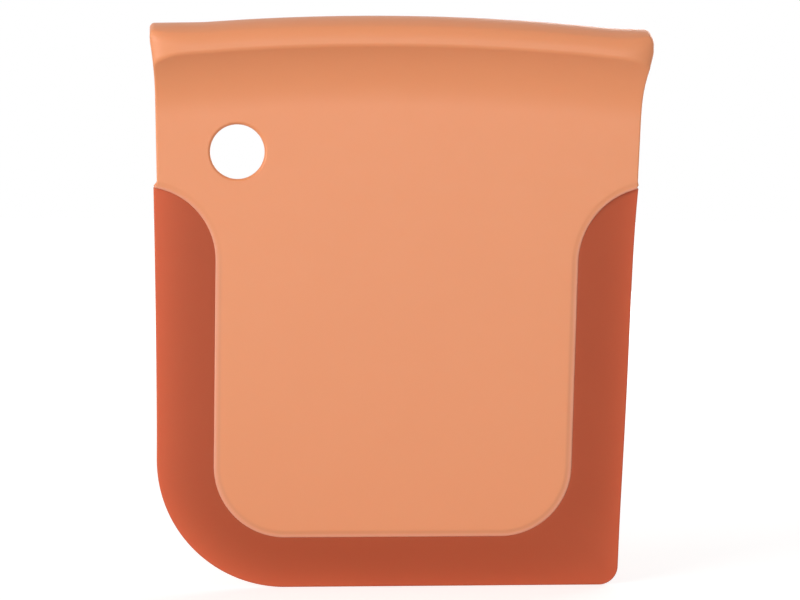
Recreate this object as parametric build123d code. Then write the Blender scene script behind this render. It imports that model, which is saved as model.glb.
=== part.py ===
from build123d import *
import math
import os

# Bowl scraper: a stiff plastic plate with a grip bar along its top and a hanging hole,
# and a soft silicone edge moulded round the plate's left side, bottom and right side.
# The frame stands the scraper upright on its blade: +Z runs up the plate, the front
# faces -Y, x = 0 is the middle of the grip, y = 0 the middle of the plate's thickness
# and z = 0 the lowest line of the blade. All lengths are millimetres. Left and right
# are as seen from the front.

# Grip bar: an arched crest that runs out level at both ends, with a lip on both faces.
# The lip's and the crown's drops are measured down from the crest's highest point.
grip_width = 120.2
grip_depth = 16.0
crest_height = 137.45
arch_radius = 540.0
level_end_length = 9.8
end_blend_radius = 45.0
crown_drop = 3.85
crown_edge_radius = 1.2
lip_drop = 7.35
finger_sweep_radius = 20.0
end_face_land = 0.2

# Plate: how far each side stands in from the grip's end, how much further it runs in
# on its way down, and the flare that joins it to the grip's end
plate_thickness = 3.2
plate_inset_left = 1.3
plate_inset_right = 1.65
plate_taper_left = 0.45
plate_taper_right = 0.8
flare_end_drop = 6.45
flare_length = 13.5
flare_end_radius = 12.0
shoulder_rise = 1.0
plate_edge_radius = 0.9

# Hanging hole, placed from the grip's left end and down from the lip
hole_diameter = 13.0
hole_inset = 20.9
hole_drop = 25.4
hole_edge_radius = 0.5

# Outer outline of the silicone edge: its step out from the plate's side at the
# shoulder, and how much it runs in from there to the blade
shoulder_step_left = 0.85
shoulder_step_right = 0.35
edge_taper_left = 1.1
edge_taper_right = 4.2
edge_side_hollow = 0.3
large_corner_radius = 31.0
small_corner_radius = 4.6

# Width of the silicone between its outer outline and the bare panel, and the arcs at
# its upper ends, which start down from the hole and run on past the outer outline
edge_width_left_high = 15.15
edge_width_left_low = 13.65
edge_width_right_high = 14.7
edge_width_right_low = 12.4
edge_width_bottom = 12.4
panel_corner_radius = 17.0
end_arc_drop = 8.3
end_arc_lift_right = 0.8
end_arc_overshoot_left = 2.35
end_arc_overshoot_right = 4.3

# Section of the silicone edge beside the panel's thin sloping rim
panel_step = 0.3
panel_rim_width = 1.4
root_land = 1.0
blade_edge_thickness = 0.9
blade_edge_radius = 0.3

# Tongue of the plate inside the silicone, with windows that the silicone fills
tongue_thickness = 1.0
tongue_reach = 5.5
tongue_margin = 4.0
window_length = 5.0
window_width = 2.2
window_pitch = 9.5

# One length by which every cutting or covering shape passes the object
overrun = 10.0

grip_half = grip_width / 2
depth_half = grip_depth / 2
plate_half = plate_thickness / 2
root_half = plate_half - panel_step
blade_edge_half = blade_edge_thickness / 2
corner_round = depth_half - plate_half - end_face_land

# Heights, all worked down from the crest
arch_centre_height = crest_height - arch_radius
lip_height = crest_height - lip_drop
flare_end_height = crest_height - flare_end_drop
flare_start_height = flare_end_height - flare_length
hole_height = lip_height - hole_drop
end_arc_left_height = hole_height - end_arc_drop
end_arc_right_height = end_arc_left_height + end_arc_lift_right

# Distances from the middle of the grip, all worked in from the grip's ends
hole_left = grip_half - hole_inset
plate_left_high = grip_half - plate_inset_left
plate_left_low = plate_left_high - plate_taper_left
plate_right_high = grip_half - plate_inset_right
plate_right_low = plate_right_high - plate_taper_right
edge_left_high = plate_left_low + shoulder_step_left
edge_left_low = edge_left_high - edge_taper_left
edge_right_high = plate_right_low + shoulder_step_right
edge_right_low = edge_right_high - edge_taper_right
panel_left_high = edge_left_high - edge_width_left_high
panel_left_low = edge_left_low - edge_width_left_low
panel_right_high = edge_right_high - edge_width_right_high
panel_right_low = edge_right_low - edge_width_right_low

# Corner points of the front view, where plate and silicone share one outline
blade_left_high = (-edge_left_high, end_arc_left_height)
blade_left_low = (-edge_left_low, 0)
blade_right_low = (edge_right_low, 0)
blade_right_high = (edge_right_high, end_arc_right_height)
shoulder_left = (-plate_left_low, end_arc_left_height + shoulder_rise)
shoulder_right = (plate_right_low, end_arc_right_height + shoulder_rise)


def rounded_corners(face, spots_and_radii):
    """The face with the corner nearest each spot rounded."""
    for spot, radius in spots_and_radii:
        face = fillet(face.vertices().sort_by_distance(spot)[0], radius)
    return face


def eased_edges(solid, spots, radius):
    """The solid with the smooth run of edges through each spot rounded."""
    edges = [solid.edges().sort_by_distance(spot)[0] for spot in spots]
    return fillet(edges, radius)


def upright(face, half_depth):
    """A face of the front view as a solid, half_depth to either side of y = 0."""
    return extrude(Plane.XZ * face, amount=half_depth, both=True)


def hollow_side(start, end):
    """One side of the silicone's outline, bowed in towards the middle of the object."""
    middle_x = (start[0] + end[0]) / 2
    middle_x -= math.copysign(edge_side_hollow, middle_x)
    return ThreePointArc(start, (middle_x, (start[1] + end[1]) / 2), end)


def blade_outline():
    """Outer outline of the silicone edge, closed along the plate's shoulders."""
    face = make_face(
        [
            hollow_side(blade_left_high, blade_left_low),
            Line(blade_left_low, blade_right_low),
            hollow_side(blade_right_low, blade_right_high),
            Line(blade_right_high, blade_left_high),
        ]
    )
    corners = [(blade_left_low, large_corner_radius), (blade_right_low, small_corner_radius)]
    return rounded_corners(face, corners)


def root_outline():
    """Where the silicone starts to thin, root_land outside the panel, with the same run
    of sides and corners as the blade's outline."""
    foot_height = edge_width_bottom - root_land
    left_low = (-panel_left_low - root_land, foot_height)
    right_low = (panel_right_low + root_land, foot_height)
    left_high = (-panel_left_high - root_land, end_arc_left_height)
    right_high = (panel_right_high + root_land, end_arc_right_height)
    face = make_face(Polyline(left_high, left_low, right_low, right_high, close=True))
    radius = panel_corner_radius + root_land
    return rounded_corners(face, [(left_low, radius), (right_low, radius)])


def panel_zone():
    """Everything above and inside the line where the silicone begins."""
    wide = grip_half + 2 * overrun
    high = crest_height + overrun
    left_end = (-panel_left_high, end_arc_left_height)
    left_foot = (-panel_left_low, edge_width_bottom)
    right_foot = (panel_right_low, edge_width_bottom)
    right_end = (panel_right_high, end_arc_right_height)
    outer_left = (-wide, end_arc_left_height)
    outer_right = (wide, end_arc_right_height)
    points = [outer_left, left_end, left_foot, right_foot, right_end, outer_right]
    face = make_face(Polyline(*points, (wide, high), (-wide, high), close=True))
    corners = [
        (left_end, edge_width_left_high + end_arc_overshoot_left),
        (left_foot, panel_corner_radius),
        (right_foot, panel_corner_radius),
        (right_end, edge_width_right_high + end_arc_overshoot_right),
    ]
    return rounded_corners(face, corners)


def plate_outline():
    """Outline of the bare plate from the top of its shoulders to above the grip, with
    ends that flare out to the grip's full width."""
    high = crest_height + overrun
    left_high = (-plate_left_high, flare_start_height)
    left_end = (-grip_half, flare_end_height)
    right_high = (plate_right_high, flare_start_height)
    right_end = (grip_half, flare_end_height)
    left_side = Line(shoulder_left, left_high)
    right_side = Line(shoulder_right, right_high)
    face = make_face(
        [
            left_side,
            TangentArc(left_high, left_end, tangent=left_side % 1),
            Polyline(left_end, (-grip_half, high), (grip_half, high), right_end),
            TangentArc(right_high, right_end, tangent=right_side % 1),
            right_side,
            Line(shoulder_right, shoulder_left),
        ]
    )
    return rounded_corners(face, [(left_end, flare_end_radius), (right_end, flare_end_radius)])


def panel_outline():
    """Outline of the panel below the plate, with the shoulders that widen it to the
    silicone's outline."""
    corners = [shoulder_left, shoulder_right, blade_right_high, blade_left_high]
    shoulders = make_face(Polyline(*corners, close=True))
    return (panel_zone() & blade_outline()) + shoulders


def flared_block():
    """The plate's outline as deep as the grip, with its upright corners rounded."""
    block = upright(plate_outline(), depth_half)
    return fillet(block.edges().filter_by(Axis.Z), corner_round)


def bar_half_section():
    """Half of the T-shaped section: the plate's face, then the finger sweep that turns
    out to the lip and runs on past it."""
    turn = math.acos(1 - (depth_half - plate_half) / finger_sweep_radius)
    sweep_start = (plate_half, lip_height - finger_sweep_radius * math.sin(turn))
    lip = (depth_half, lip_height)
    past_lip = (depth_half + overrun * math.sin(turn), lip_height + overrun * math.cos(turn))
    high = crest_height + overrun
    return make_face(
        [
            Polyline((0, 0), (plate_half, 0), sweep_start),
            TangentArc(sweep_start, lip, tangent=(0, 1)),
            Polyline(lip, past_lip, (past_lip[0], high), (0, high), (0, 0)),
        ]
    )


def arched_bar():
    """The T-shaped section turned about a far axis, so that lip and crest share an arch."""
    axis = Axis((0, 0, arch_centre_height), (0, 1, 0))
    half = Plane.YZ * bar_half_section()
    section = half + mirror(half, about=Plane.XZ)
    swing = 2 * math.degrees(math.asin((grip_half + overrun) / -arch_centre_height))
    return revolve(section.rotate(axis, -swing / 2), axis, swing)


def crest_path():
    """The crest line of the grip, an arch between two level ends."""
    reach = grip_half - level_end_length
    level_end_height = arch_centre_height + math.sqrt(arch_radius**2 - reach**2)
    wide = grip_half + overrun
    left_end = (-reach, level_end_height)
    right_end = (reach, level_end_height)
    level_left = Line((-wide, level_end_height), left_end)
    arch = ThreePointArc(left_end, (0, crest_height), right_end)
    level_right = Line(right_end, (wide, level_end_height))
    path = Wire([level_left.edge(), arch.edge(), level_right.edge()])
    bends = [path.vertices().sort_by_distance(end)[0] for end in (left_end, right_end)]
    return Plane.XZ * path.fillet_2d(end_blend_radius, bends)


def above_crown():
    """All that lies above the crowned top of the grip."""
    crown_radius = (depth_half**2 + crown_drop**2) / (2 * crown_drop)
    turn = (math.asin(depth_half / crown_radius) + math.pi / 2) / 2
    reach = crown_radius * math.sin(turn)
    low = crown_radius * math.cos(turn) - crown_radius
    side = depth_half + overrun
    section = make_face(
        [
            ThreePointArc((-reach, low), (0, 0), (reach, low)),
            Polyline((reach, low), (side, low), (side, overrun), (-side, overrun)),
            Polyline((-side, overrun), (-side, low), (-reach, low)),
        ]
    )
    path = crest_path()
    start = Plane(origin=path @ 0, x_dir=(0, 1, 0), z_dir=(1, 0, 0))
    return sweep(start * section, path=path)


def hanging_hole():
    """The round hole through the plate at the upper left."""
    spot = (-hole_left, 0, hole_height)
    return Plane(spot, z_dir=(0, 1, 0)) * Cylinder(hole_diameter / 2, grip_depth)


def sloped_rim(solid):
    """The panel's edge beside the silicone cut back to a thin slope on both faces."""
    for side in (-plate_half, plate_half):
        face = solid.faces().sort_by_distance((0, side, hole_height))[0]
        edge = solid.edges().sort_by_distance((0, side, edge_width_bottom))[0]
        solid = chamfer(edge, panel_rim_width, panel_step, reference=face)
    return solid


def moulded_plate():
    """Plate, grip and panel in one, without the tongue."""
    panel = upright(panel_outline(), plate_half)
    solid = (arched_bar() & flared_block()) + panel - above_crown()
    lips = [(0, side, lip_height) for side in (-depth_half, depth_half)]
    crown_edge_height = crest_height - crown_drop
    crown_edges = [(0, side, crown_edge_height) for side in (-depth_half, depth_half)]
    hole_top = hole_height + hole_diameter / 2
    hole_edges = [(-hole_left, side, hole_top) for side in (-plate_half, plate_half)]
    solid = eased_edges(solid, lips, plate_edge_radius)
    solid = eased_edges(solid, crown_edges, crown_edge_radius)
    solid = eased_edges(solid - hanging_hole(), hole_edges, hole_edge_radius)
    return sloped_rim(solid)


def tongue_limit(margin):
    """The silicone's outline less a margin, with plain straight sides."""
    left_low = (margin - edge_left_low, margin)
    right_low = (edge_right_low - margin, margin)
    right_high = (edge_right_high - margin, end_arc_right_height)
    left_high = (margin - edge_left_high, end_arc_left_height)
    return make_face(Polyline(left_low, right_low, right_high, left_high, close=True))


def window_slots():
    """Slots at an even pitch along the middle of the tongue."""
    middle = offset(panel_zone(), tongue_reach / 2).face()
    limit = tongue_limit(tongue_margin + window_length / 2).face()
    slots = []
    for edge in middle.outer_wire().edges():
        count = int(edge.length // window_pitch)
        for turn in range(count):
            share = (turn + 0.5) / count
            spot = edge @ share
            if limit.is_inside(spot):
                run = edge % share
                slot = SlotOverall(window_length, window_width)
                slots.append(Pos(spot) * Rot(0, 0, math.degrees(math.atan2(run.Y, run.X))) * slot)
    return Sketch() + slots


def tongue():
    """Thin flange round three sides of the panel, pierced by the windows."""
    face = offset(panel_zone(), tongue_reach) & tongue_limit(tongue_margin)
    return upright(face - window_slots(), tongue_thickness / 2)


def blade_blank():
    """The silicone's outer form as if it were solid: even at its root, thinning from
    there to its eased outer edge on both faces."""
    solid = upright(blade_outline(), blade_edge_half)
    for side in (-1, 1):
        outer = Plane.XZ.offset(-side * blade_edge_half) * blade_outline()
        inner = Plane.XZ.offset(-side * root_half) * root_outline()
        solid += loft([outer.face(), inner.face()], ruled=True)
    outer_edges = [(0, side, 0) for side in (-blade_edge_half, blade_edge_half)]
    return eased_edges(solid, outer_edges, blade_edge_radius)


os.makedirs("parts", exist_ok=True)
plate_and_grip = moulded_plate() + tongue()
silicone_edge = blade_blank() - upright(panel_zone(), depth_half) - tongue()
export_step(plate_and_grip, "parts/plate_and_grip.step")
export_step(silicone_edge, "parts/silicone_edge.step")
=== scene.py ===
import math

import bpy
import numpy as np
from mathutils import Matrix, Vector


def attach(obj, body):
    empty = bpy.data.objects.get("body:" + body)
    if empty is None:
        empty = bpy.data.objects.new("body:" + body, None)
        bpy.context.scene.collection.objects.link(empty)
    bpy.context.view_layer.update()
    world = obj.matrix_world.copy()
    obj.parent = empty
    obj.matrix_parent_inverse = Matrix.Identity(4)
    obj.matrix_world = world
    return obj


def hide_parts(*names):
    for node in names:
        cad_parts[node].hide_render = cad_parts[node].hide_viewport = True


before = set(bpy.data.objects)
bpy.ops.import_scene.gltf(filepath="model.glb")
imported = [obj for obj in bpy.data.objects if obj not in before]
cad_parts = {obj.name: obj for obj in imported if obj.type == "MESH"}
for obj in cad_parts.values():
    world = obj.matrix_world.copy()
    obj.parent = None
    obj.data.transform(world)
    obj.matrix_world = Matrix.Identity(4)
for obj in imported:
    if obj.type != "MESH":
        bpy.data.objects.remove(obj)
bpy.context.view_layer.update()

# Lengths are worked out in millimetres, as in the part's source, and turned to metres
# when a mesh is made. Each piece is the zero surface of a function of x, y and z that is
# negative inside it: a net of quads is laid over that surface, drawn onto it exactly,
# and shaded with the function's own gradient.
MM = 0.001
SCENE = bpy.context.scene

# Grip
GRIP_HALF = 60.1
DEPTH_HALF = 8.0
CREST = 137.45
BOX_TOP = 137.42  # the pieces stay under this, just inside the CAD box
ARCH_R = 540.0
ARCH_Z = CREST - ARCH_R
LEVEL_REACH = 50.3
LEVEL_Z = ARCH_Z + math.sqrt(ARCH_R**2 - LEVEL_REACH**2)
CREST_HALF, CREST_STEP, CREST_BEND = 75.0, 0.05, 7.0
LEFT_END_SLOPE, LEFT_END_X = 0.024, -59.0
RIGHT_END_SLOPE, RIGHT_END_X = -0.018, 50.0
CROWN_DROP = 3.85
CROWN_R = (DEPTH_HALF**2 + CROWN_DROP**2) / (2 * CROWN_DROP)
CROWN_EDGE_X = (50.0, 58.0)  # over this run the crown's edge radius grows from the
CROWN_EDGE_R = (1.2, 1.6)    # first of these to the second
LIP = 130.1
LIP_R = 0.42
SWEEP_R = 20.0
CORNER_DEPTH, CORNER_REACH = 2.2, 8.0

# Plate
PLATE_HALF = 1.6
SWEEP_TURN = math.acos(1 - (DEPTH_HALF - PLATE_HALF) / SWEEP_R)
SWEEP_START = LIP - SWEEP_R * math.sin(SWEEP_TURN)
SIDE_RANGE, SIDE_STEP = (80.0, 150.0), 0.02
FLARE_BEND, SHOULDER_BEND = 2.4, 0.3
SHOULDER_LEDGE, SHOULDER_STEP = 0.1, 0.3
HOLE_X, HOLE_Z, HOLE_R, HOLE_EDGE_R = -39.2, 104.7, 6.5, 0.75
RIM_FALL, RIM_WIDTH, RIM_EASE = 0.16, 1.4, 0.25

# Silicone edge
ROOT_HALF = 1.3
ROOT_EASE = 0.6
BLADE_HALF = 0.38
BLADE_EDGE_R = 0.3
SEAM_R = 0.12
OVERLAP = 0.25  # how far the plate runs on past the seam, into the silicone

# Outlines, seen from the front
LEFT_SEAM_Z, RIGHT_SEAM_Z = 96.4, 97.2  # where the seam meets the sides
BEYOND_X = 90.0  # outside the part at either side
ABOVE_PANEL_Z, ABOVE_EDGE_Z = 160.0, 150.0  # over the top of the part
LEFT_TOP_X, LEFT_LOW_X, LEFT_HOLLOW = -59.15, -58.05, 0.3
LEFT_SIDE_FROM_Z, RIGHT_SIDE_FROM_Z = 36.0, 6.0
LARGE_CORNER, LARGE_CORNER_R = (-27.2, 31.0), 31.0
SMALL_CORNER, SMALL_CORNER_R = (49.25, 4.6), 4.6
RIGHT_FIT_Z = (0, 29, 58, 77.6, 97.2)
RIGHT_FIT_X = (53.8, 54.8, 55.95, 56.65, 57.9)
RIGHT_TOP_X = 57.9

# Making of the meshes
ARC_POINTS = 36  # on each rounded corner of an outline
FIELD_X, FIELD_Z, FIELD_STEP = (-66.0, 66.0), (-6.0, 146.0), 0.5
PULLS, LONGEST_PULL, LEAST_STEEPNESS = 6, 0.25, 0.05
GRADIENT_STEP = 0.02
TINY = 0.01

# Marks that the materials read
ARC_FADE, ARC_FADE_Z, ARC_FADE_REACH = 0.65, 72.0, 14.0
# where the painted shade line in the rim lies inside the panel line, and how wide it is
RIM_SHADE_IN, RIM_SHADE_WIDTH = 0.95, 0.4
SEAM_BAND, SEAM_BAND_MORE, SEAM_SOFT = 0.45, 0.3, 0.5
# where the painted light on the silicone's left flank starts, and how far it grows
PAINTED_LIGHT_FLANK_X, PAINTED_LIGHT_FLANK_REACH = 8.0, 60.0


def arc(centre, radius, start, end, count):
    """Points on a circle's arc, angles in degrees."""
    turn = np.radians(np.linspace(start, end, count))
    return np.stack([centre[0] + radius * np.cos(turn), centre[1] + radius * np.sin(turn)], 1)


def softened(values, width, step):
    """A sampled curve with its bends rounded over width."""
    window = np.hanning(2 * int(width / step / 2) + 1)
    pad = len(window) // 2
    padded = np.concatenate([np.full(pad, values[0]), values, np.full(pad, values[-1])])
    return np.convolve(padded, window / window.sum(), mode="valid")


def side_profile(shoulder, low, high, end):
    """Half width over height: the shoulder, then straight from low to high, then an arc
    out to end, and straight up. Also the share by which a gap across it is nearer."""
    z = np.arange(*SIDE_RANGE, SIDE_STEP)
    low, high, end = (np.array(p, float) for p in (low, high, end))
    run = (high - low) / np.linalg.norm(high - low)
    across = np.array([run[1], -run[0]])
    chord = end - high
    radius = chord @ chord / (2 * chord @ across)
    centre = high + across * radius
    x = low[0] + (z - low[1]) * run[0] / run[1]
    flare = centre[0] - np.sqrt(np.maximum(radius**2 - (z - centre[1]) ** 2, 0))
    x = np.where(z > high[1], np.minimum(flare, end[0]), x)
    x = np.where(z > end[1], end[0], x)
    x = softened(x, FLARE_BEND, SIDE_STEP)
    slope = shoulder[0] + (z - shoulder[1]) * (low[0] - shoulder[0]) / (low[1] - shoulder[1])
    x = np.where(z < low[1], np.minimum(slope, shoulder[0]), x)
    x = np.where(z < shoulder[1] - SHOULDER_LEDGE, shoulder[0] - SHOULDER_STEP, x)
    x = softened(x, SHOULDER_BEND, SIDE_STEP)
    lean = 1 / np.sqrt(1 + np.gradient(x, SIDE_STEP) ** 2)
    return z, x, lean


SIDE_Z, LEFT_X, LEFT_LEAN = side_profile(
    shoulder=(59.2, LEFT_SEAM_Z), low=(58.35, 97.4), high=(58.8, 117.5), end=(GRIP_HALF, 131.0)
)
_, RIGHT_X, RIGHT_LEAN = side_profile(
    shoulder=(57.75, RIGHT_SEAM_Z), low=(57.5, 98.2), high=(58.2, 116.5), end=(GRIP_HALF, 128.8)
)

# The crest: an arch between two ends that slope a little
CREST_X = np.arange(-CREST_HALF, CREST_HALF, CREST_STEP)
CREST_END_Z = LEVEL_Z + np.where(
    CREST_X < 0,
    LEFT_END_SLOPE * (CREST_X - LEFT_END_X),
    RIGHT_END_SLOPE * (CREST_X - RIGHT_END_X),
)
CREST_Z = softened(
    np.maximum(ARCH_Z + np.sqrt(ARCH_R**2 - CREST_X**2), CREST_END_Z), CREST_BEND, CREST_STEP
)


def rounded(points, radii):
    """A closed polygon with each corner rounded by its radius."""
    out = []
    for i, (p, radius) in enumerate(zip(points, radii)):
        p = np.array(p, float)
        if not radius:
            out.append(p[None])
            continue
        a = np.array(points[i - 1], float) - p
        b = np.array(points[(i + 1) % len(points)], float) - p
        a /= np.linalg.norm(a)
        b /= np.linalg.norm(b)
        half = math.acos(a @ b) / 2
        centre = p + (a + b) / np.linalg.norm(a + b) * radius / math.sin(half)
        first = p + a * radius / math.tan(half) - centre
        last = p + b * radius / math.tan(half) - centre
        t0 = math.atan2(first[1], first[0])
        t1 = math.atan2(last[1], last[0])
        t1 = t0 + (t1 - t0 + math.pi) % (2 * math.pi) - math.pi
        out.append(arc(centre, radius, math.degrees(t0), math.degrees(t1), ARC_POINTS))
    return np.concatenate(out)


def hollow_side(start, end, hollow, count):
    """A side of the silicone, bowed in at its middle."""
    t = np.linspace(0, 1, count)[:, None]
    points = np.array(start, float) * (1 - t) + np.array(end, float) * t
    points[:, 0] -= np.sign(points[:, 0]) * hollow * 4 * (t * (1 - t))[:, 0]
    return points


# Line where the bare panel ends, as one closed shape that runs on above the grip
PANEL = rounded(
    [(-BEYOND_X, LEFT_SEAM_Z), (-44.05, LEFT_SEAM_Z), (-44.45, 12.4), (41.4, 12.4),
     (43.3, RIGHT_SEAM_Z), (BEYOND_X, RIGHT_SEAM_Z), (BEYOND_X, ABOVE_PANEL_Z),
     (-BEYOND_X, ABOVE_PANEL_Z)],
    [0, 17.5, 17.0, 17.0, 19.0, 0, 0, 0],
)

# Outer outline of the silicone, closed above it
LEFT_SIDE = hollow_side((LEFT_TOP_X, LEFT_SEAM_Z), (LEFT_LOW_X, 0), LEFT_HOLLOW, 24)
RIGHT_RUN = np.linspace(0, RIGHT_SEAM_Z, 40)
RIGHT_FIT = np.polyfit(RIGHT_FIT_Z, RIGHT_FIT_X, 4)
RIGHT_SIDE = np.stack([np.polyval(RIGHT_FIT, RIGHT_RUN), RIGHT_RUN], 1)
OUTER = np.concatenate([
    LEFT_SIDE[LEFT_SIDE[:, 1] > LEFT_SIDE_FROM_Z],
    arc(LARGE_CORNER, LARGE_CORNER_R, 180.4, 270, 60),
    arc(SMALL_CORNER, SMALL_CORNER_R, 270, 357.4, 24),
    RIGHT_SIDE[RIGHT_SIDE[:, 1] > RIGHT_SIDE_FROM_Z],
    [(RIGHT_TOP_X, ABOVE_EDGE_Z), (LEFT_TOP_X, ABOVE_EDGE_Z)],
])

# Where the silicone starts to thin
ROOT = rounded(
    [(-45.0, ABOVE_EDGE_Z), (-45.0, LEFT_SEAM_Z), (-45.45, 11.4), (42.4, 11.4),
     (44.3, RIGHT_SEAM_Z), (44.3, ABOVE_EDGE_Z)],
    [0, 0, 18.0, 18.0, 0, 0],
)


def signed(polygon, x, z):
    """Distance from a closed polygon, negative inside."""
    shape = x.shape
    x, z = x.ravel(), z.ravel()
    best = np.full(len(x), 1e9)
    inside = np.zeros(len(x), bool)
    for a, b in zip(polygon, np.roll(polygon, -1, 0)):
        run = b - a
        if run @ run < 1e-12:
            continue
        t = np.clip(((x - a[0]) * run[0] + (z - a[1]) * run[1]) / (run @ run), 0, 1)
        gap = (x - a[0] - t * run[0]) ** 2 + (z - a[1] - t * run[1]) ** 2
        np.minimum(best, gap, out=best)
        if a[1] != b[1]:
            at = a[0] + (z - a[1]) * run[0] / run[1]
            inside ^= ((a[1] > z) != (b[1] > z)) & (x < at)
    return (np.where(inside, -1, 1) * np.sqrt(best)).reshape(shape)


class Field:
    """Distance from a polygon, worked out once on a grid and read smoothly between."""

    def __init__(self, polygon):
        x = np.arange(*FIELD_X, FIELD_STEP)
        z = np.arange(*FIELD_Z, FIELD_STEP)
        self.grid = signed(polygon, *np.meshgrid(x, z, indexing="ij"))

    def __call__(self, x, z):
        u = (x - FIELD_X[0]) / FIELD_STEP
        v = (z - FIELD_Z[0]) / FIELD_STEP
        i = np.clip(u.astype(int), 1, self.grid.shape[0] - 3)
        j = np.clip(v.astype(int), 1, self.grid.shape[1] - 3)
        wu, wv = self.weights(u - i), self.weights(v - j)
        total = 0
        for a in range(4):
            row = sum(wv[b] * self.grid[i + a - 1, j + b - 1] for b in range(4))
            total = total + wu[a] * row
        return total

    @staticmethod
    def weights(t):
        """The share of each of four neighbours, by a Catmull-Rom cubic."""
        return (
            t * (-0.5 + t * (1 - 0.5 * t)),
            1 + t * t * (1.5 * t - 2.5),
            t * (0.5 + t * (2 - 1.5 * t)),
            t * t * (0.5 * t - 0.5),
        )


panel_line = Field(PANEL)
outer_line = Field(OUTER)
root_line = Field(ROOT)


def both(a, b, radius):
    """Inside a and b, with the edge between them rounded."""
    u = np.maximum(a + radius, 0)
    v = np.maximum(b + radius, 0)
    return np.minimum(np.maximum(a, b), -radius) + np.hypot(u, v)


def eased(t, width):
    """max(t, 0), with its bend rounded over width."""
    h = np.clip(0.5 + t / (2 * width), 0, 1)
    return np.where(t > width, t, width * h * h)


def side_gap(x, z):
    """Distance outside the plate's sides."""
    left = (-x - np.interp(z, SIDE_Z, LEFT_X)) * np.interp(z, SIDE_Z, LEFT_LEAN)
    right = (x - np.interp(z, SIDE_Z, RIGHT_X)) * np.interp(z, SIDE_Z, RIGHT_LEAN)
    return np.maximum(left, right)


def grip_end(front, side):
    """Inside the grip's faces and its ends, with a quarter ellipse as their corner."""
    nearest, corner_from, deep = 0.1, 0.3, -9.0
    u = np.maximum(front / CORNER_DEPTH + 1, 0)
    v = np.maximum(side / CORNER_REACH + 1, 0)
    reach = np.maximum(np.hypot(u, v), nearest)
    slope = np.hypot(u / CORNER_DEPTH, v / CORNER_REACH) / reach
    corner = np.where(reach > corner_from, (reach - 1) / np.maximum(slope, TINY), deep)
    return np.maximum(np.maximum(front, side), corner)


def plate(x, y, z):
    """Plate, grip bar, hanging hole and the panel's sloping rim."""
    depth = np.abs(y)
    arch = np.hypot(x, z - ARCH_Z) + ARCH_Z - SWEEP_START
    line = panel_line(x, z)
    rim = RIM_FALL / RIM_WIDTH * eased(line + RIM_WIDTH, RIM_EASE)
    flat = depth - PLATE_HALF
    sweep = np.where(arch > 0, SWEEP_R - np.hypot(SWEEP_R + PLATE_HALF - depth, arch), flat)
    bar = both(sweep + rim, grip_end(depth - DEPTH_HALF, side_gap(x, z)), LIP_R)
    centre = np.interp(x, CREST_X, CREST_Z) - CROWN_R
    crown = np.where(z > centre, np.hypot(y, z - centre), depth) - CROWN_R
    bar = both(bar, crown, np.interp(x, CROWN_EDGE_X, CROWN_EDGE_R))
    hole = HOLE_R - np.hypot(x - HOLE_X, z - HOLE_Z)
    bar = both(bar, hole, HOLE_EDGE_R)
    return both(bar, line - OVERLAP, OVERLAP)


def thinned(x, z, outer):
    """0 where the silicone starts to thin, 1 at its outer edge."""
    root = eased(root_line(x, z), ROOT_EASE)
    return root / np.maximum(root + np.maximum(-outer, 0), TINY)


def silicone(x, y, z):
    """Silicone edge: even beside the panel, then thinning to its outer edge."""
    outer = outer_line(x, z)
    half = ROOT_HALF - (ROOT_HALF - BLADE_HALF) * thinned(x, z, outer)
    body = both(np.abs(y) - half, outer, BLADE_EDGE_R)
    return both(body, -panel_line(x, z), SEAM_R)


def spaced(*runs):
    """A rising row of coordinates from (start, end, step) runs that join."""
    out = []
    for start, end, step in runs:
        count = max(round((end - start) / step), 1)
        out.append(np.linspace(start, end, count, endpoint=False))
    return np.concatenate([*out, [runs[-1][1]]])


def gradient(shape, points):
    """The rise of shape along x, y and z."""
    out = np.empty_like(points)
    for i in range(3):
        shift = np.zeros(3)
        shift[i] = GRADIENT_STEP
        rise = shape(*(points + shift).T) - shape(*(points - shift).T)
        out[:, i] = rise / (2 * GRADIENT_STEP)
    return out


def crossings(values, axes):
    """One point in each grid cell that the surface passes, and the cells' numbers."""
    inside = values < 0
    corners = [(a, b, c) for a in (0, 1) for b in (0, 1) for c in (0, 1)]
    size = tuple(n - 1 for n in values.shape)
    count = sum(
        inside[a : a + size[0], b : b + size[1], c : c + size[2]].astype(np.int8)
        for a, b, c in corners
    )
    mixed = (count > 0) & (count < len(corners))
    index = np.full(size, -1, np.int64)
    index[mixed] = np.arange(mixed.sum())
    cell = np.stack(np.nonzero(mixed), 1)
    total = np.zeros((len(cell), 3))
    hits = np.zeros(len(cell))
    for a in corners:
        for axis in range(3):
            if a[axis]:
                continue
            b = tuple(1 if i == axis else a[i] for i in range(3))
            p, q = cell + a, cell + b
            fp = values[tuple(p.T)]
            fq = values[tuple(q.T)]
            cross = (fp < 0) != (fq < 0)
            t = np.where(cross, fp / np.where(cross, fp - fq, 1), 0)
            for i in range(3):
                at_p, at_q = axes[i][p[:, i]], axes[i][q[:, i]]
                total[:, i] += np.where(cross, at_p + t * (at_q - at_p), 0)
            hits += cross
    return total / hits[:, None], index


def faces(inside, index):
    """A quad round each grid edge that the surface cuts, turned outward."""
    quads = []
    for axis in range(3):
        u, v = [i for i in range(3) if i != axis]
        low = [slice(None)] * 3
        high = [slice(None)] * 3
        low[axis], high[axis] = slice(0, -1), slice(1, None)
        change = inside[tuple(low)] != inside[tuple(high)]
        e = np.stack(np.nonzero(change), 1)
        within = (e[:, u] < index.shape[u]) & (e[:, v] < index.shape[v])
        e = e[(e[:, u] > 0) & (e[:, v] > 0) & within]
        ring = []
        for du, dv in ((1, 1), (0, 1), (0, 0), (1, 0)):
            c = e.copy()
            c[:, u] -= du
            c[:, v] -= dv
            ring.append(index[tuple(c.T)])
        quad = np.stack(ring, 1)
        outward = inside[tuple(e.T)]
        if axis == 1:
            outward = ~outward
        quad[~outward] = quad[~outward][:, ::-1]
        quads.append(quad)
    return np.concatenate(quads)


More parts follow.
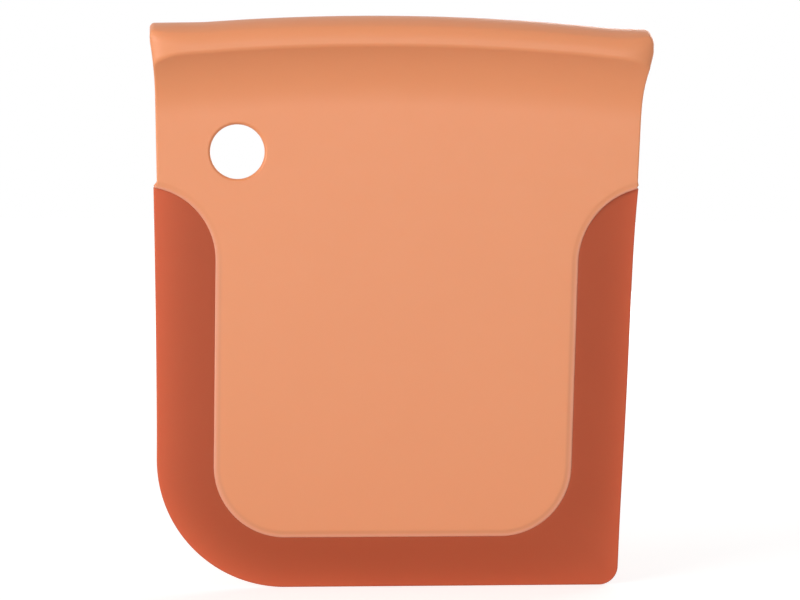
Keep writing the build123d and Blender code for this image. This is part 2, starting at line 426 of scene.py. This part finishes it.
def net(shape, axes):
    """Vertices, outward normals and quads of the surface shape = 0 over a grid."""
    values = shape(*np.meshgrid(*axes, indexing="ij"))
    points, index = crossings(values, axes)
    quads = faces(values < 0, index)
    for _ in range(PULLS):
        slope = gradient(shape, points)
        steepness = np.maximum((slope**2).sum(1), LEAST_STEEPNESS)
        move = shape(*points.T)[:, None] * slope / steepness[:, None]
        length = np.linalg.norm(move, axis=1)
        points -= move * np.minimum(1, LONGEST_PULL / np.maximum(length, 1e-9))[:, None]
    slope = gradient(shape, points)
    return points, slope / np.linalg.norm(slope, axis=1)[:, None], quads


def linked(name, data):
    """A new object in the scene."""
    o = bpy.data.objects.new(name, data)
    SCENE.collection.objects.link(o)
    return o


def piece(name, shape, axes, marks):
    """A mesh object of shape = 0, with a point attribute for each of marks."""
    points, normals, quads = net(shape, axes)
    points[:, 2] = np.clip(points[:, 2], 0, BOX_TOP)
    mesh = bpy.data.meshes.new(name)
    mesh.vertices.add(len(points))
    mesh.vertices.foreach_set("co", (points * MM).astype(np.float32).ravel())
    mesh.loops.add(quads.size)
    mesh.loops.foreach_set("vertex_index", quads.ravel().astype(np.int32))
    mesh.polygons.add(len(quads))
    mesh.polygons.foreach_set("loop_start", np.arange(0, quads.size, 4, dtype=np.int32))
    mesh.update()
    mesh.validate()
    mesh.polygons.foreach_set("use_smooth", np.ones(len(mesh.polygons), bool))
    mesh.normals_split_custom_set_from_vertices(normals.astype(np.float32))
    for mark, value in marks.items():
        layer = mesh.attributes.new(mark, "FLOAT", "POINT")
        layer.data.foreach_set("value", value(*points.T).astype(np.float32))
    return linked(name, mesh)


def smooth_step(t):
    """0 to 1 as t goes from 0 to 1, level at both ends."""
    t = np.clip(t, 0, 1)
    return t * t * (3 - 2 * t)


def arc_fade(z):
    """1 beside the straight seam, less along the arcs at its upper ends."""
    return 1 - ARC_FADE * smooth_step((z - ARC_FADE_Z) / ARC_FADE_REACH)


def rim_shade_mark(x, y, z):
    """Along the thin grey line of painted shade in the rim's groove."""
    return arc_fade(z) * np.exp(-(((panel_line(x, z) + RIM_SHADE_IN) / RIM_SHADE_WIDTH) ** 2))


def plate_seam_mark(x, y, z):
    """Along the plate's pale edge beside the silicone."""
    band = SEAM_BAND + SEAM_BAND_MORE * arc_fade(z)
    return smooth_step((panel_line(x, z) + band) / SEAM_SOFT)


def thin_mark(x, y, z):
    """How far the silicone has thinned."""
    return np.clip(thinned(x, z, outer_line(x, z)), 0, 1)


def edge_seam_mark(x, y, z):
    """Along the silicone's edge beside the plate."""
    return smooth_step(1 - panel_line(x, z) / SEAM_SOFT)


def painted_light_flank_mark(x, y, z):
    """Towards the left flank, where more painted light is laid on the silicone."""
    return smooth_step((PAINTED_LIGHT_FLANK_X - x) / PAINTED_LIGHT_FLANK_REACH)


# Grid lines as (start, end, step) runs along x, y and z, closest where the surface bends.
# None lies on a flat end of a piece, which would give faces without area.
PLATE_AXES = (
    spaced((-60.7, -57.0, 0.22), (-57.0, -30.0, 0.42), (-30.0, -24.0, 0.8), (-24.0, 22.0, 1.4),
           (22.0, 26.0, 0.8), (26.0, 57.0, 0.5), (57.0, 60.7, 0.22)),
    spaced((-8.6, -7.0, 0.27), (-7.0, -2.0, 0.42), (-2.0, -0.5, 0.22), (-0.5, 0.5, 0.35),
           (0.5, 2.0, 0.22), (2.0, 7.0, 0.42), (7.0, 8.6, 0.27)),
    spaced((11.3, 16.0, 0.33), (16.0, 32.0, 0.55), (32.0, 74.0, 1.4), (74.0, 94.0, 0.6),
           (94.0, 99.5, 0.3), (99.5, 112.0, 0.42), (112.0, 128.0, 0.55), (128.0, 138.0, 0.3)),
)
EDGE_AXES = (
    spaced((-60.0, -56.5, 0.25), (-56.5, -42.0, 0.47), (-42.0, -26.0, 0.55), (-26.0, 24.0, 1.4),
           (24.0, 40.0, 0.55), (40.0, 58.8, 0.36)),
    spaced((-1.7, 1.7, 0.17)),
    spaced((-0.53, 1.4, 0.2), (1.4, 6.0, 0.4), (6.0, 11.0, 0.7), (11.0, 14.0, 0.35),
           (14.0, 32.0, 0.55), (32.0, 76.0, 1.4), (76.0, 98.0, 0.4)),
)

# the rim mark carries painted shade along the groove in the rim
plate_body = piece(
    "plate_body", plate, PLATE_AXES, {"rim": rim_shade_mark, "seam": plate_seam_mark}
)
# the flank mark carries extra painted light on the silicone's left side
silicone_blade = piece(
    "silicone_blade", silicone, EDGE_AXES,
    {"thin": thin_mark, "seam": edge_seam_mark, "painted_light_flank": painted_light_flank_mark},
)


# Materials

def linear(r, g, b):
    """A colour of 0 to 255 as the shader takes it."""
    return tuple(
        (c / 255 / 12.92 if c / 255 <= 0.04045 else ((c / 255 + 0.055) / 1.055) ** 2.4)
        for c in (r, g, b)
    ) + (1.0,)


class Graph:
    """The nodes of a material or of the world, made one call at a time."""

    def __init__(self, owner, output):
        owner.use_nodes = True
        self.nodes = owner.node_tree.nodes
        self.links = owner.node_tree.links
        self.nodes.clear()
        self.output = self.add(output)

    def add(self, kind, inputs=None, **settings):
        node = self.nodes.new("ShaderNode" + kind)
        for key, value in settings.items():
            setattr(node, key, value)
        for key, value in (inputs or {}).items():
            if isinstance(value, bpy.types.NodeSocket):
                self.links.new(value, node.inputs[key])
            else:
                node.inputs[key].default_value = value
        return node

    def math(self, operation, a, b):
        return self.add("Math", {0: a, 1: b}, operation=operation).outputs[0]

    def mix(self, share, a, b):
        return self.add(
            "Mix", {"Factor": share, 6: a, 7: b}, data_type="RGBA", clamp_factor=True
        ).outputs[2]

    def tinted(self, tone, mark, share, tint):
        """tone, mixed with tint by a share of mark."""
        return self.mix(self.math("MULTIPLY", mark, share), tone, tint)

    def map_range(self, value, start, end, low, high):
        return self.add("MapRange", {"Value": value, 1: start, 2: end, 3: low, 4: high}).outputs[0]

    def noise(self, at, scale, detail, roughness):
        inputs = {"Vector": at, "Scale": scale, "Detail": detail, "Roughness": roughness}
        return self.add("TexNoise", inputs).outputs["Fac"]

    def place(self):
        return self.add("TexCoord").outputs["Object"]

    def mark(self, name):
        return self.add("Attribute", attribute_name=name).outputs["Fac"]

    def bump(self, height, strength, distance):
        inputs = {"Height": height, "Strength": strength, "Distance": distance}
        return self.add("Bump", inputs).outputs[0]

    def direct_rays(self):
        """1 for rays from the camera, mirrored or passed through, 0 for scattered ones."""
        path = self.add("LightPath").outputs
        seen = self.math("MAXIMUM", path["Is Camera Ray"], path["Is Glossy Ray"])
        return self.math("MAXIMUM", seen, path["Is Transmission Ray"])

    def show(self, shader):
        self.links.new(shader.outputs[0], self.output.inputs[0])


def moulded_plastic():
    """Satin plastic with a fine grain, a grey line of painted shade in the rim and a pale seam."""
    material = bpy.data.materials.new("peach_plastic")
    g = Graph(material, "OutputMaterial")
    at = g.place()
    drift = g.noise(at, 22.0, 2.0, 0.5)
    grain = g.noise(at, 3800.0, 2.0, 0.6)
    uneven = g.noise(at, 420.0, 1.0, 0.4)
    tone = g.mix(drift, linear(228, 145, 98), linear(231, 148, 101))
    tone = g.tinted(tone, grain, 0.10, linear(221, 138, 92))
    # painted shade: the rim mark darkens a grey line in the rim as the groove's shadow would
    tone = g.tinted(tone, g.mark("rim"), 0.40, linear(202, 136, 104))
    tone = g.tinted(tone, g.mark("seam"), 0.6, linear(227, 156, 134))
    height = g.math("ADD", g.math("MULTIPLY", grain, 0.35), g.math("MULTIPLY", uneven, 0.65))
    g.show(g.add(
        "BsdfPrincipled",
        {
            "Base Color": tone,
            "Roughness": g.map_range(uneven, 0.3, 0.7, 0.42, 0.45),
            "Normal": g.bump(height, 0.09, 0.00005),
            "IOR": 1.48,
            "Subsurface Weight": 0.12,
            "Subsurface Radius": (0.0022, 0.0010, 0.0006),
            "Subsurface Scale": 1.0,
        },
    ))
    return material


def matt_silicone():
    """Matt silicone with a dusty grain, lightened with painted light where it thins, as though
    light shone through the thin edge, more so towards the left flank, and paler at the seam."""
    material = bpy.data.materials.new("terracotta_silicone")
    g = Graph(material, "OutputMaterial")
    at = g.place()
    drift = g.noise(at, 30.0, 3.0, 0.55)
    dust = g.noise(at, 2600.0, 3.0, 0.7)
    # painted light: towards the left flank the thin-edge glow spreads wider and is stronger, as if
    # lit from the left
    painted_light_flank = g.mark("painted_light_flank")
    falloff = g.math("SUBTRACT", 3.4, g.math("MULTIPLY", painted_light_flank, 1.2))
    # painted light: the thinning silicone is lightened as light let through its thin edge would
    # light it
    painted_glow = g.math("POWER", g.mark("thin"), falloff)
    painted_glow_share = g.math("ADD", 0.55, g.math("MULTIPLY", painted_light_flank, 0.3))
    tone = g.mix(drift, linear(170, 68, 27), linear(176, 73, 33))
    tone = g.tinted(tone, painted_glow, painted_glow_share, linear(210, 96, 56))
    tone = g.tinted(tone, g.mark("seam"), 0.25, linear(190, 96, 66))
    tone = g.tinted(tone, dust, 0.10, linear(200, 112, 84))
    g.show(g.add(
        "BsdfPrincipled",
        {
            "Base Color": tone,
            "Roughness": g.map_range(dust, 0.3, 0.7, 0.52, 0.62),
            "Normal": g.bump(dust, 0.25, 0.00004),
            "IOR": 1.41,
            "Subsurface Weight": 0.25,
            "Subsurface Radius": (0.0030, 0.0010, 0.0006),
            "Subsurface Scale": 1.0,
            "Sheen Weight": 0.08,
            "Sheen Roughness": 0.5,
        },
    ))
    return material


for o, material, node, slot in (
    (plate_body, moulded_plastic(), "plate_and_grip", "plate"),
    (silicone_blade, matt_silicone(), "silicone_edge", "silicone"),
):
    o.data.materials.append(material)
    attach(o, "root")
    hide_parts(node)


# Floor, backdrop and light, in metres

FLOOR_HALF = 4
FLOOR_GREY = 0.62
LIFT_REACH, LIFT_LEVEL = (0.3, 2.2), (0.62, 0.88)  # the lift grows with distance
AMBIENT, AMBIENT_COLOUR = 0.38, (1.0, 0.99, 0.98, 1.0)
WHITE = (1, 1, 1, 1)


def pale_floor():
    """Pale matt floor that the camera sees as white where no shadow falls."""
    material = bpy.data.materials.new("pale_floor")
    g = Graph(material, "OutputMaterial")
    far = g.add("VectorMath", {0: g.place()}, operation="LENGTH").outputs["Value"]
    level = g.map_range(far, *LIFT_REACH, *LIFT_LEVEL)
    diffuse = g.add("BsdfDiffuse", {"Color": (FLOOR_GREY, FLOOR_GREY, FLOOR_GREY, 1.0)})
    strength = g.math("MULTIPLY", g.direct_rays(), level)
    lift = g.add("Emission", {"Color": WHITE, "Strength": strength})
    g.show(g.add("AddShader", {0: diffuse.outputs[0], 1: lift.outputs[0]}))
    return material


floor_mesh = bpy.data.meshes.new("floor")
floor_mesh.from_pydata(
    [(FLOOR_HALF * i, FLOOR_HALF * j, 0) for i, j in ((-1, -1), (1, -1), (1, 1), (-1, 1))],
    [],
    [(0, 1, 2, 3)],
)
floor_mesh.materials.append(pale_floor())
floor = linked("floor", floor_mesh)

SCENE.world = bpy.data.worlds.new("studio")
studio = Graph(SCENE.world, "OutputWorld")
ambient = studio.add("Background", {"Color": AMBIENT_COLOUR, "Strength": AMBIENT})
white = studio.add("Background", {"Color": WHITE, "Strength": 1.0})
studio.show(studio.add(
    "MixShader", {0: studio.direct_rays(), 1: ambient.outputs[0], 2: white.outputs[0]}
))

# Area lamps: name, place, the point that each faces, width, height, power and colour
LAMPS = (
    ("key", (-1.05, -0.8, 0.33), (0, 0, 0.07), 0.8, 0.8, 12.3, (1.0, 0.99, 0.97)),
    ("front", (0.1, -1.2, 0.05), (0, 0, 0.03), 0.7, 0.5, 5.5, (1.0, 0.99, 0.98)),
    ("rear", (0.7, 1.1, 0.4), (0, 0, 0.07), 1.0, 0.8, 11.0, (1, 1, 1)),
)
for name, place, aim, width, height, power, colour in LAMPS:
    lamp = bpy.data.lights.new(name, "AREA")
    lamp.shape = "RECTANGLE"
    lamp.size, lamp.size_y = width, height
    lamp.energy = power
    lamp.color = colour
    o = linked(name, lamp)
    o.location = place
    o.rotation_mode = "QUATERNION"
    o.rotation_quaternion = (Vector(aim) - Vector(place)).to_track_quat("-Z", "Y")

# Camera at the photograph's place: left of the middle, a little above and turned
YAW, RISE, ROLL = math.radians(5.4), math.radians(3.0), math.radians(0.42)
AIM = Vector((0.03, 0.0, 69.35)) * MM
DISTANCE = 0.630
SENSOR_WIDTH, LENS = 36.0, 117.77
back = Vector((
    -math.sin(YAW) * math.cos(RISE),
    -math.cos(YAW) * math.cos(RISE),
    math.sin(RISE),
))
right = Vector((math.cos(YAW), -math.sin(YAW), 0))
up = back.cross(right)
right, up = (
    right * math.cos(ROLL) + up * math.sin(ROLL),
    up * math.cos(ROLL) - right * math.sin(ROLL),
)
camera_data = bpy.data.cameras.new("camera")
camera_data.sensor_width = SENSOR_WIDTH
camera_data.lens = LENS
camera = linked("camera", camera_data)
camera.matrix_world = Matrix.Translation(AIM + back * DISTANCE) @ Matrix(
    (right, up, back)
).transposed().to_4x4()
SCENE.camera = camera
SCENE.view_settings.view_transform = "Standard"
